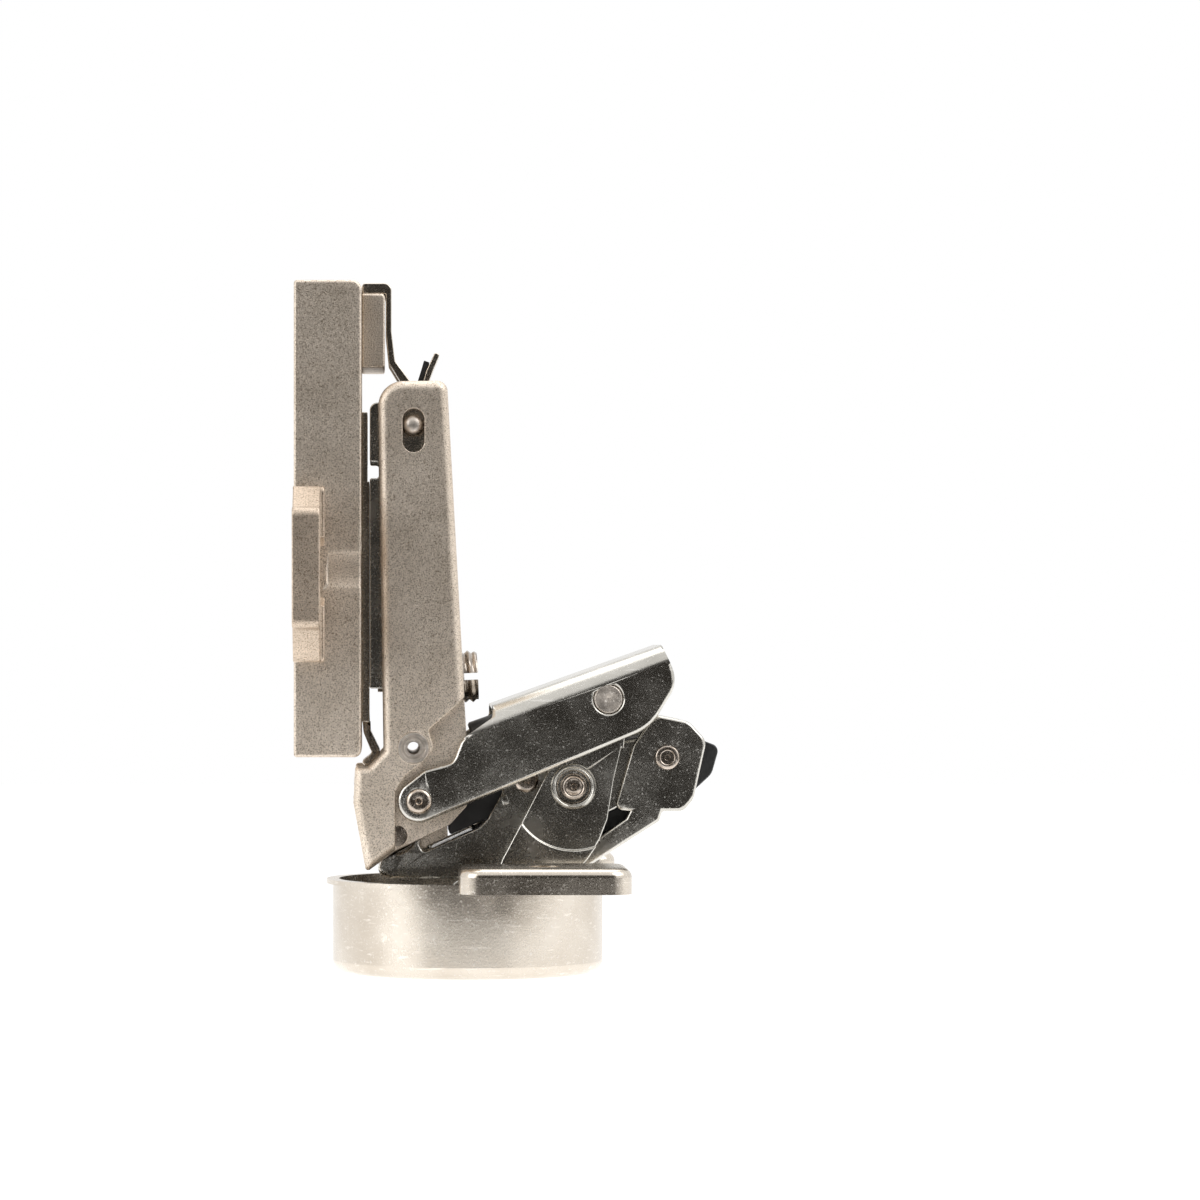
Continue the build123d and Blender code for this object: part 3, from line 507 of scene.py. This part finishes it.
def flatPiece(look):
    bm = bmesh.new()
    across = look["near"] == 0
    levels = (-look["far"], look["far"]) if across else (look["near"], look["far"])
    for side in (1,) if across else (-1, 1):
        rings = []
        for level in levels:
            rings.append([bm.verts.new((x * mm, side * level * mm, z * mm)) for x, z in look["outline"]])
        bm.faces.new(rings[0])
        bm.faces.new(rings[1])
        for index in range(len(look["outline"])):
            after = (index + 1) % len(look["outline"])
            bm.faces.new((rings[0][index], rings[0][after], rings[1][after], rings[1][index]))
    bmesh.ops.recalc_face_normals(bm, faces=bm.faces)
    bmesh.ops.bevel(bm, geom=bm.edges[:], offset=flatEdge["radius"], segments=flatEdge["segments"],
                    profile=0.5, affect="EDGES", clamp_overlap=True)
    mesh = meshFrom(bm, look["name"])
    smooth(mesh, crease)
    newPiece(look["name"], mesh, look["node"])


for look in flats:
    flatPiece(look)
print("flat pieces:", len(flats))


# Side screw with its thread, and the slot across its end
sideScrew = {
    "point": (23.7, -13.35), "tilt": math.radians(2.67), "radius": 3.4, "long": 9.6,
    "depth": 0.42, "pitch": 0.95, "rowsPerTurn": 8, "runOut": 0.5, "runOutShare": 0.9,
    "neck": 1.1, "neckEnd": 12.4, "disc": 1.5, "discEnd": 13.05, "slotWide": 0.9, "slotDeep": 1.8,
}


def threadRadius(look, along, turn):
    phase = (along / look["pitch"] + turn) % 1.0
    ridge = 1 - abs(2 * phase - 1)
    ease = min(1.0, along / look["runOut"], (look["long"] - along) / look["runOut"])
    return look["radius"] - look["depth"] * ((1 - ridge) * ease + look["runOutShare"] * (1 - ease))


def screwRing(bm, along, radii):
    ring = []
    for step, radius in enumerate(radii):
        angle = 2 * math.pi * step / turnSteps
        across, up = radius * mm * math.cos(angle), radius * mm * math.sin(angle)
        ring.append(bm.verts.new((-along * mm, across, up)))
    return ring


def threadedScrew(look):
    bm = bmesh.new()
    rows = int(look["long"] / look["pitch"] * look["rowsPerTurn"])
    rings = []
    for row in range(rows + 1):
        along = look["long"] * row / rows
        radii = [threadRadius(look, along, step / turnSteps) for step in range(turnSteps)]
        rings.append(screwRing(bm, along, radii))
    for radius, along in ((look["neck"], look["long"]), (look["neck"], look["neckEnd"]),
                          (look["disc"], look["neckEnd"]), (look["disc"], look["discEnd"])):
        rings.append(screwRing(bm, along, [radius] * turnSteps))
    for first, second in zip(rings, rings[1:]):
        for step in range(turnSteps):
            after = (step + 1) % turnSteps
            bm.faces.new((first[step], second[step], second[after], first[after]))
    bm.faces.new(rings[0])
    bm.faces.new(rings[-1])
    bmesh.ops.recalc_face_normals(bm, faces=bm.faces)
    draft = addObject("screwDraft", meshFrom(bm, "sideScrew"))
    bm = bmesh.new()
    bmesh.ops.create_cube(bm, size=1.0)
    bmesh.ops.scale(bm, verts=bm.verts, vec=(2 * look["slotDeep"] * mm, 4 * look["radius"] * mm,
                                             look["slotWide"] * mm))
    cutter = addObject("slotCutter", meshFrom(bm, "slot"))
    cut = draft.modifiers.new("slot", "BOOLEAN")
    cut.operation = "DIFFERENCE"
    cut.object = cutter
    cut.solver = "EXACT"
    finished = applied(draft)
    bpy.data.objects.remove(draft)
    bpy.data.objects.remove(cutter)
    bm = bmesh.new()
    bm.from_mesh(finished)
    withoutSlivers(bm)
    bm.to_mesh(finished)
    bm.free()
    finished.transform(Matrix.Translation((look["point"][0] * mm, 0, look["point"][1] * mm))
                       @ Matrix.Rotation(-look["tilt"], 4, "Y"))
    smooth(finished, crease)
    piece = newPiece("sideScrewThread", finished, "side_screw")
    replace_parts(piece, "side_screw")


threadedScrew(sideScrew)
print("side screw is threaded")


# Floor, light and camera
floorLook = {
    "size": 6.0, "segments": 8, "drop": 0.07, "colour": grey(0.86), "roughness": 0.9, "specular": 0.1,
    "glow": 0.56,
}
worldLook = {"ambient": 0.55, "seen": 1.0}  # strength on the hinge, and where the camera or gloss sees it


def directView(nodes, links):  # 1 where the camera, gloss or glass looks straight at it
    path = nodes.new("ShaderNodeLightPath")
    total = path.outputs["Is Camera Ray"]
    for ray in ("Is Glossy Ray", "Is Transmission Ray"):
        adder = nodes.new("ShaderNodeMath")
        adder.operation = "MAXIMUM"
        links.new(total, adder.inputs[0])
        links.new(path.outputs[ray], adder.inputs[1])
        total = adder.outputs["Value"]
    return total


def makeFloor(look):
    bm = bmesh.new()
    bmesh.ops.create_grid(bm, x_segments=look["segments"], y_segments=look["segments"],
                          size=look["size"] / 2)
    floor = addObject("floor", meshFrom(bm, "floor"))
    floor.location = (0, 0, lowest.z - look["drop"])
    material = bpy.data.materials.new("paper_floor")
    material.use_nodes = True
    nodes, links = material.node_tree.nodes, material.node_tree.links
    shader = nodes["Principled BSDF"]
    shader.inputs["Base Color"].default_value = (*look["colour"], 1)
    shader.inputs["Roughness"].default_value = look["roughness"]
    shader.inputs["Specular IOR Level"].default_value = look["specular"]
    glow = nodes.new("ShaderNodeMath")
    glow.operation = "MULTIPLY"
    glow.inputs[1].default_value = look["glow"]
    links.new(directView(nodes, links), glow.inputs[0])
    shader.inputs["Emission Color"].default_value = (1, 1, 1, 1)
    links.new(glow.outputs["Value"], shader.inputs["Emission Strength"])
    floor.data.materials.append(material)


def makeWorld(look):
    world = bpy.data.worlds.new("studio")
    scene.world = world
    world.use_nodes = True
    nodes, links = world.node_tree.nodes, world.node_tree.links
    strength = nodes.new("ShaderNodeMapRange")
    strength.inputs["To Min"].default_value = look["ambient"]
    strength.inputs["To Max"].default_value = look["seen"]
    links.new(directView(nodes, links), strength.inputs["Value"])
    nodes["Background"].inputs["Color"].default_value = (1, 1, 1, 1)
    links.new(strength.outputs["Result"], nodes["Background"].inputs["Strength"])


# Dark cloth that lies before the hinge and rises behind the camera: only what shines sees it
clothLook = {
    "width": 1.3, "height": 0.6, "distance": 0.85, "front": 0.09, "lift": 0.1 * mm,
    "tint": (1.0, 0.93, 0.85), "shade": 0.045,
}


def makeCloth(look):
    half, level = look["width"] / 2, lowest.z
    outline = [(-look["front"], level), (-look["distance"], level),
               (-look["distance"], level + look["height"])]
    bm = bmesh.new()
    rows = [[bm.verts.new((x, y, z + look["lift"])) for x in (-half, half)] for y, z in outline]
    for first, second in zip(rows, rows[1:]):
        bm.faces.new((first[0], first[1], second[1], second[0]))
    cloth = addObject("darkCloth", meshFrom(bm, "darkCloth"))
    material = bpy.data.materials.new("dark_cloth")
    material.use_nodes = True
    nodes, links = material.node_tree.nodes, material.node_tree.links
    path = nodes.new("ShaderNodeLightPath")
    clear = nodes.new("ShaderNodeBsdfTransparent")
    dark = nodes.new("ShaderNodeEmission")
    dark.inputs["Color"].default_value = (*look["tint"], 1)
    dark.inputs["Strength"].default_value = look["shade"]
    mix = nodes.new("ShaderNodeMixShader")
    links.new(path.outputs["Is Glossy Ray"], mix.inputs["Fac"])
    links.new(clear.outputs["BSDF"], mix.inputs[1])
    links.new(dark.outputs["Emission"], mix.inputs[2])
    links.new(mix.outputs["Shader"], nodes["Material Output"].inputs["Surface"])
    cloth.data.materials.append(material)


lamps = [
    {"name": "keyLamp", "place": (0.75, -0.35, 0.75), "size": 0.7, "power": 4.5},
    {"name": "leftLamp", "place": (-0.8, -0.45, 0.35), "size": 0.7, "power": 3.0},
    {"name": "topLamp", "place": (0.05, 0.25, 0.95), "size": 0.8, "power": 3.0},
]
aim = Vector((0.02, 0, -0.01))  # the lamps point here


def makeLamp(look):
    lamp = bpy.data.lights.new(look["name"], "AREA")
    lamp.shape = "SQUARE"
    lamp.size = look["size"]
    lamp.energy = look["power"]
    holder = addObject(look["name"], lamp)
    holder.location = look["place"]
    holder.rotation_euler = (aim - holder.location).to_track_quat("-Z", "Y").to_euler()


cameraLook = {
    "place": (11.4 * mm, -600 * mm, -8.8 * mm), "focalPixels": 4616, "frame": 1200, "axisPixel": (383, 641),
    "sensor": 36.0, "nearest": 0.01,
}


def makeCamera(look):
    camera = bpy.data.cameras.new("camera")
    camera.sensor_width = look["sensor"]
    camera.lens = look["focalPixels"] / look["frame"] * look["sensor"]
    camera.shift_x = 0.5 - look["axisPixel"][0] / look["frame"]
    camera.shift_y = look["axisPixel"][1] / look["frame"] - 0.5
    camera.clip_start = look["nearest"]
    holder = addObject("camera", camera)
    holder.location = look["place"]
    holder.rotation_euler = (math.pi / 2, 0, 0)
    scene.camera = holder


makeFloor(floorLook)
makeWorld(worldLook)
makeCloth(clothLook)
for look in lamps:
    makeLamp(look)
makeCamera(cameraLook)
print("stage, lamps and camera are set")
